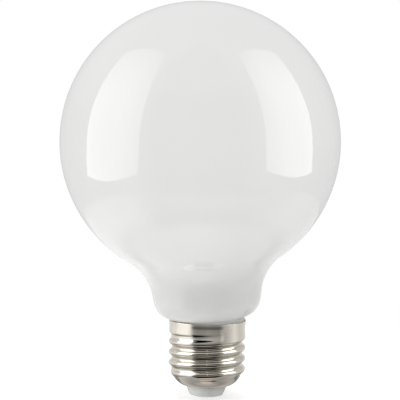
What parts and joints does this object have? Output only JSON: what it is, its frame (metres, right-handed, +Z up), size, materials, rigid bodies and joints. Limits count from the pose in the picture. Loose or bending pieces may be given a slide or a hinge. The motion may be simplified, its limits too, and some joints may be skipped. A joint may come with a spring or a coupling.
{
  "type": "globe bulb",
  "caption": "Opal glass globe lamp bulb, 95 mm across, on a rolled metal screw cap with an insulator nose and a centre contact",
  "frame": {"origin": "Centre of the flat tip of the centre contact, at the bottom of the screw cap", "axes": "+Z up along the cap's axis, out of the lamp holder towards the globe; +X to the right in the picture, away from the side that the glass leans to; +Y away from the picture's viewer"},
  "size_m": [0.095, 0.095, 0.1342],
  "materials": {
    "opal_glass": "gloss",
    "cement": "matte",
    "plated_cap": "bright plated",
    "insulator": "satin",
    "contact": "satin"
  },
  "bodies": {
    "root": {"glass_globe": "opal_glass", "cap_cement": "cement", "screw_shell": "plated_cap", "cap_insulator": "insulator", "centre_contact": "contact"}
  },
  "joints": []
}
